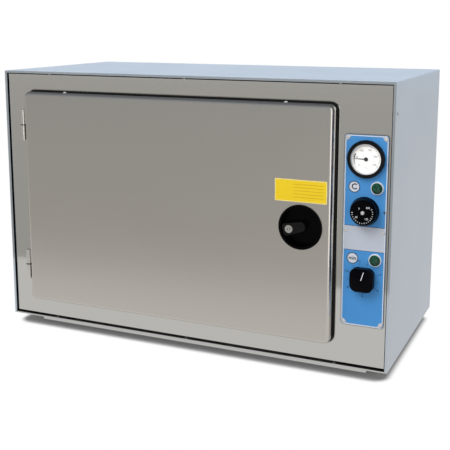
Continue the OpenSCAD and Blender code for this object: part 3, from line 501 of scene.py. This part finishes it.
def thermostat_face():
    """Ticks round the lower rim of the knob's face and four plain numbers."""
    low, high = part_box("thermostat_knob")
    mid = (low + high) / 2
    face = Marks(mid)
    rim = (high.x - low.x) / 2 - 5.9 * MM
    ticks, first, sweep = 17, 180, 205
    for k in range(ticks):
        angle = first + sweep * k / (ticks - 1)
        inner = rim - (2.5 * MM if k % 4 == 0 else 1.9 * MM)
        face.spoke(angle, inner, rim, 0.8 * MM)
    # Each number with its angle and its distance from the middle in millimetres
    numbers = (("0", 128, 8.6), ("60", 218, 11.8), ("120", 306, 11.2), ("200", 45, 12.4))
    for words, angle, reach in numbers:
        a = math.radians(angle)
        face.text(words, 4.2 * MM, reach * MM * math.cos(a), reach * MM * math.sin(a), 0.01)
    face.place("thermostat_numbers", low.y, THIN, INK_WHITE, "knob", "thermostat")


def timer_pointer():
    """A white line from near the middle of the domed knob to its upper edge."""
    low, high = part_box("timer_knob")
    mid = (low + high) / 2
    dome_r = 70 * MM
    line = Marks(mid)
    angle = math.radians(74)
    along = Vector((math.cos(angle), math.sin(angle)))
    side = Vector((-math.sin(angle), math.cos(angle))) * 0.6 * MM
    start, end = 1.0 * MM, 14.8 * MM
    steps = 8
    for k in range(steps):
        a = along * (start + (end - start) * k / steps)
        b = along * (start + (end - start) * (k + 1) / steps)
        line.face([tuple(a - side), tuple(b - side), tuple(b + side), tuple(a + side)])

    def dome(x, z):
        return dome_r - math.sqrt(dome_r**2 - x * x - z * z)

    line.place("timer_pointer", low.y, THIN, INK_WHITE, "knob", "timer", depth=dome)


def dial_print():
    """Degree arc, ticks, numbers and the dark arc near the needle's rest, on the thermometer's dial."""
    low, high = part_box("thermometer_dial")
    mid = (low + high) / 2
    radius = (high.x - low.x) / 2
    face = low.y
    first, sweep, ticks, each_number = 222, 264, 26, 5
    outer = radius - 3.0 * MM
    fine = Marks(mid)
    fine.arc(radius - 3.2 * MM, radius - 2.95 * MM, first, first - sweep)
    for k in range(ticks + 1):
        long = k % each_number == 0
        inner = radius - (5.2 if long else 4.2) * MM
        fine.spoke(first - sweep * k / ticks, inner, outer, (0.42 if long else 0.25) * MM)
    reach = radius - 9.2 * MM
    for k, number in enumerate((0, 50, 100, 150, 200, 250)):
        a = math.radians(first - sweep * each_number * k / ticks)
        fine.text(str(number), 4.3 * MM, reach * math.cos(a), reach * math.sin(a))
    fine.text("°C", 4.6 * MM, 0, -13.5 * MM)
    fine.place("dial_scale", face, THIN * 0.6, INK_GREY, "dial", "cabinet")
    zone = Marks(mid)
    zone.arc(17.7 * MM, 19.7 * MM, 154, 206, taper=0.3)
    zone.place("dial_zone", face, THIN * 0.8, INK_DARK_AND_HOLE_SHADE, "dial", "cabinet")
    rim = Marks(mid)
    rim.arc(radius - 1.1 * MM, radius - 0.3 * MM)
    rim.place("dial_rim", face, THIN * 0.6, INK_PALE, "dial", "cabinet")


def needle_cap():
    """The dark cap on the needle's hub."""
    needle_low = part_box("thermometer_needle")[0]
    cap = Marks(centre("thermometer_dial"))
    cap.disc(0, 0, 3.3 * MM)
    cap.place("needle_cap", needle_low.y, 2 * THIN, FINISHES["needle"], "needle", "needle")


def label_print():
    """The yellow plate keeps only a pale border and plain ruled lines."""
    low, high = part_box("door_label")
    mid = (low + high) / 2
    half_x, half_z = (high.x - low.x) / 2, (high.z - low.z) / 2
    edge = 0.2 * MM
    border = Marks(mid)
    border.frame(-half_x + edge, -half_z + edge, half_x - edge, half_z - edge, 1.1 * MM, 1 * MM)
    border.place("label_border", low.y, THIN, INK_CREAM, "label", "door")
    rules = Marks(mid)
    left, right = -half_x + 32 * MM, half_x - 6 * MM
    first, pitch, rule_half = 7.5 * MM, 5.2 * MM, 0.3 * MM
    for k in range(5):
        z = half_z - (first + pitch * k)
        rules.box(left, z - rule_half, right, z + rule_half)
    rules.place("label_rules", low.y, THIN, INK_RULE, "label", "door")


def lock_print():
    """Paints the two pin holes on the face of the lock dark, a painted shade for their hollows, which lie
    in line with the lever.
    """
    low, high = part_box("lock_cylinder")
    middle = Vector((low.x + (high.z - low.z) / 2, 0, (low.z + high.z) / 2))
    lever = centre("latch_cup") - middle
    lever.y = 0
    lever.normalize()
    hole_shade = Marks(middle)
    hole_r = 0.95 * MM
    # Painted shade: dark discs where the pin holes are
    for reach in (-2 * MM, 2 * MM):
        hole_shade.disc(lever.x * reach, lever.z * reach, hole_r)
    hole_shade.place("lock_painted_hole_shade", low.y, THIN, INK_DARK_AND_HOLE_SHADE, "lock", "lock")


plate_print()
knob_marks()
thermostat_face()
timer_pointer()
dial_print()
needle_cap()
label_print()
lock_print()


# Door seal


def door_seal():
    """A rubber seal with a beaded lip, swept round the door in place of its plain solid."""
    low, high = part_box("door_gasket")
    mid_y = (low.y + high.y) / 2
    width = 12.4 * MM
    corner_r = 14 * MM
    inward_limit = corner_r - 1.2 * MM
    bead = (high.y - low.y) / 2
    web = bead * 0.6
    rib = bead * 0.9
    bead_steps, corner_steps = 8, 10

    # The section's points: how far out, never past the outer edge, and how far back from the middle
    profile = []
    for k in range(bead_steps + 1):
        a = math.radians(-90 + 180 * k / bead_steps)
        profile.append((-bead + bead * math.cos(a), bead * math.sin(a)))
    profile += [(-2.4 * bead, web), (-4.6 * bead, web), (-5.2 * bead, rib), (-6.4 * bead, rib)]
    profile += [(-7.0 * bead, web), (-width, web), (-width, -bead)]

    mesh = bmesh.new()
    rings = []
    for k, (x, z) in enumerate(rounded(low.x, low.z, high.x, high.z, corner_r, corner_steps)):
        corner, step = divmod(k, corner_steps + 1)
        a = math.radians(-90 + 90 * corner + 90 * step / corner_steps)
        out = Vector((math.cos(a), 0, math.sin(a)))
        ring = []
        for u, v in profile:
            point = Vector((x, mid_y, z)) + out * max(u, -inward_limit)
            ring.append(mesh.verts.new(point + Vector((0, v, 0))))
        rings.append(ring)
    for k, a in enumerate(rings):
        b = rings[(k + 1) % len(rings)]
        for j in range(len(profile)):
            i = (j + 1) % len(profile)
            mesh.faces.new((a[j], a[i], b[i], b[j]))
    bmesh.ops.recalc_face_normals(mesh, faces=mesh.faces[:])
    for face in mesh.faces:
        face.smooth = True
    seal = new_piece("door_seal", mesh, FINISHES["seal"], "door")
    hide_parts("door_gasket")


door_seal()


# Studio


def light_path(tree, ray):
    """One for rays of this kind and zero for the others."""
    return tree.nodes.new("ShaderNodeLightPath").outputs[ray]


def combine(tree, operation, a, b):
    node = tree.nodes.new("ShaderNodeMath")
    node.operation = operation
    tree.links.new(a, node.inputs[0])
    tree.links.new(b, node.inputs[1])
    return node.outputs[0]


def soft_step(tree, value, start, end, low, high):
    """Goes smoothly from low to high as the value goes from start to end."""
    node = tree.nodes.new("ShaderNodeMapRange")
    node.interpolation_type = "SMOOTHSTEP"
    for socket, number in zip(("From Min", "From Max", "To Min", "To Max"), (start, end, low, high)):
        node.inputs[socket].default_value = number
    tree.links.new(value, node.inputs["Value"])
    return node.outputs["Result"]


def mix_shaders(tree, share, first, second):
    node = tree.nodes.new("ShaderNodeMixShader")
    for socket, value in zip(node.inputs, (share, first, second)):
        tree.links.new(value, socket)
    return node.outputs[0]


def emission(tree, colour):
    node = tree.nodes.new("ShaderNodeEmission")
    node.inputs["Color"].default_value = (*colour, 1)
    return node


def white_world():
    """White to the camera. Metal sees it brightest behind the machine, grey in front, dimmer overhead."""
    world = bpy.data.worlds.new("studio")
    bpy.context.scene.world = world
    world.use_nodes = True
    tree = world.node_tree
    tree.nodes.clear()
    toward = tree.nodes.new("ShaderNodeTexCoord").outputs["Generated"]

    def background(colour):
        node = tree.nodes.new("ShaderNodeBackground")
        node.inputs["Color"].default_value = (*colour, 1)
        return node

    def lobe(direction, start, end, low, high):
        """Goes from low to high as a ray turns towards the direction."""
        dot = tree.nodes.new("ShaderNodeVectorMath")
        dot.operation = "DOT_PRODUCT"
        tree.links.new(toward, dot.inputs[0])
        dot.inputs[1].default_value = Vector(direction).normalized()
        return soft_step(tree, dot.outputs["Value"], start, end, low, high)

    behind = lobe((-0.45, 0.89, 0), 0.35, 0.9, 0.37, 1.0)
    right = lobe((0.96, -0.28, 0), 0.6, 0.95, 0.0, -0.2)
    overhead = lobe((0, 0, 1), 0.35, 0.85, 1.0, 0.55)
    level = combine(tree, "MULTIPLY", combine(tree, "ADD", behind, right), overhead)

    white = background((1, 1, 1))
    soft = background((1, 1, 1))
    soft.inputs["Strength"].default_value = 0.72
    mirrored = background((0.87, 0.96, 1.06))
    tree.links.new(level, mirrored.inputs["Strength"])
    surface = soft.outputs[0]
    seen_by = {"Is Glossy Ray": mirrored, "Is Transmission Ray": white, "Is Camera Ray": white}
    for ray, seen in seen_by.items():
        surface = mix_shaders(tree, light_path(tree, ray), surface, seen.outputs[0])
    output = tree.nodes.new("ShaderNodeOutputWorld")
    tree.links.new(surface, output.inputs["Surface"])


def floor():
    """Floor that is grey near the machine, a painted shadow laid over the shadow the machine really casts,
    and fades to white further off.
    """
    bpy.ops.mesh.primitive_grid_add(x_subdivisions=2, y_subdivisions=2, size=16)
    plane = bpy.context.object
    plane.name = "floor"
    material = bpy.data.materials.new("floor_white_with_painted_shadow")
    material.use_nodes = True
    tree = material.node_tree
    tree.nodes.clear()
    # Painted shadow: near the cover's footprint the camera sees this grey floor instead of white
    diffuse = tree.nodes.new("ShaderNodeBsdfDiffuse")
    diffuse.inputs["Color"].default_value = (0.4, 0.4, 0.41, 1)

    def vector(operation, into, value=None):
        node = tree.nodes.new("ShaderNodeVectorMath")
        node.operation = operation
        tree.links.new(into, node.inputs[0])
        if value is not None:
            node.inputs[1].default_value = value
        return node.outputs["Value" if operation == "LENGTH" else "Vector"]

    # How far a point lies outside the cover's footprint, which is taken a little smaller all round
    low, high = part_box("outer_cover")
    middle, half = (low + high) / 2, (high - low) / 2
    set_in = 0.03
    fade_start, fade_end = 0.02, 0.035
    place = tree.nodes.new("ShaderNodeNewGeometry").outputs["Position"]
    beside = vector("ABSOLUTE", vector("SUBTRACT", place, (middle.x, middle.y, 0)))
    outside = vector("SUBTRACT", beside, (half.x - set_in, half.y - set_in, 0))
    away = vector("LENGTH", vector("MAXIMUM", outside, (0, 0, 0)))
    fade = soft_step(tree, away, fade_start, fade_end, 0.0, 1.0)

    mirrored = emission(tree, (0.75, 0.745, 0.73))
    white = emission(tree, (1, 1, 1))
    surface = mix_shaders(tree, light_path(tree, "Is Glossy Ray"), diffuse.outputs[0], mirrored.outputs[0])
    faded = combine(tree, "MULTIPLY", fade, light_path(tree, "Is Camera Ray"))
    output = tree.nodes.new("ShaderNodeOutputMaterial")
    tree.links.new(mix_shaders(tree, faded, surface, white.outputs[0]), output.inputs["Surface"])
    plane.data.materials.append(material)


def studio_card(name, corners, near, far=None):
    """A card that only reflections see. Its colour may go from near to far along its length."""
    data = bpy.data.meshes.new(name)
    data.from_pydata(corners, [], [(0, 1, 2, 3)])
    card = bpy.data.objects.new(name, data)
    bpy.context.scene.collection.objects.link(card)
    material = bpy.data.materials.new(name)
    material.use_nodes = True
    tree = material.node_tree
    tree.nodes.clear()
    place = tree.nodes.new("ShaderNodeTexCoord")
    split = tree.nodes.new("ShaderNodeSeparateXYZ")
    ramp = tree.nodes.new("ShaderNodeMix")
    ramp.data_type = "RGBA"
    ramp.inputs["A"].default_value = (*(far or near), 1)
    ramp.inputs["B"].default_value = (*near, 1)
    glow = emission(tree, near)
    output = tree.nodes.new("ShaderNodeOutputMaterial")
    tree.links.new(place.outputs["Generated"], split.inputs[0])
    tree.links.new(split.outputs["Y"], ramp.inputs["Factor"])
    tree.links.new(ramp.outputs["Result"], glow.inputs["Color"])
    tree.links.new(glow.outputs[0], output.inputs["Surface"])
    data.materials.append(material)
    card.visible_camera = False
    card.visible_diffuse = False
    card.visible_shadow = False
    card.visible_transmission = False


def studio_cards():
    """What the metal mirrors: a grey card in front, a bright strip at the right with its foot, a dark flag.

    The flat ones lie on the floor in thin layers, and where two cross the higher one shows."""
    bright, dim = (1.6, 1.6, 1.6), (0.07, 0.07, 0.1)
    front_z, flag_z, foot_z = 0.002, 0.003, 0.004
    strip_height = 1.5
    face_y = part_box("front_fascia")[0].y
    reach, edge_y, edge_slope = 6, face_y - 0.428, -0.101
    fall = edge_slope * reach
    front = [(-reach, -7), (reach, -7), (reach, edge_y + fall), (-reach, edge_y - fall)]
    strip = [(0.72, -2.15), (1.62, -1.62)]
    foot = [(0.45, -0.72), *strip, (0.78, -0.66)]
    flag = [(0.8, -0.62), (6, -5.0), (6, 1.3), (0.62, -0.05)]
    upright = [(*p, 0) for p in strip] + [(*p, strip_height) for p in reversed(strip)]
    studio_card("front_card", [(*p, front_z) for p in front], (0.46, 0.45, 0.425), (0.52, 0.505, 0.475))
    studio_card("strip_card", upright, bright)
    studio_card("strip_foot", [(*p, foot_z) for p in foot], bright)
    studio_card("right_flag", [(*p, flag_z) for p in flag], dim)


def softbox(name, at, width, height, power):
    """An area light that faces the machine's lower middle."""
    aim = Vector((0, 0, 0.2))
    data = bpy.data.lights.new(name, "AREA")
    data.shape = "RECTANGLE"
    data.size = width
    data.size_y = height
    data.energy = power
    light = bpy.data.objects.new(name, data)
    light.location = at
    light.rotation_euler = (aim - Vector(at)).to_track_quat("-Z", "Y").to_euler()
    light.visible_camera = False
    light.visible_glossy = False
    bpy.context.scene.collection.objects.link(light)


def camera():
    """The photograph's viewing angle: from the front, to the right and a little above."""
    data = bpy.data.cameras.new("camera")
    data.sensor_width = 36
    data.lens = 68.65
    data.shift_y = -0.12
    holder = bpy.data.objects.new("camera", data)
    holder.location = (0.6563, -1.4722, 0.5798)
    pitch, yaw = -10.09, 24.01
    holder.rotation_euler = Euler((math.radians(90 + pitch), 0, math.radians(yaw)), "XYZ")
    bpy.context.scene.collection.objects.link(holder)
    bpy.context.scene.camera = holder


white_world()
floor()
studio_cards()
softbox("key", (-0.9, -1.7, 2.4), 1.8, 1.4, 47)
softbox("top", (0.2, 0.4, 2.6), 2.4, 2.0, 22)
camera()
bpy.context.scene.view_settings.view_transform = "Standard"
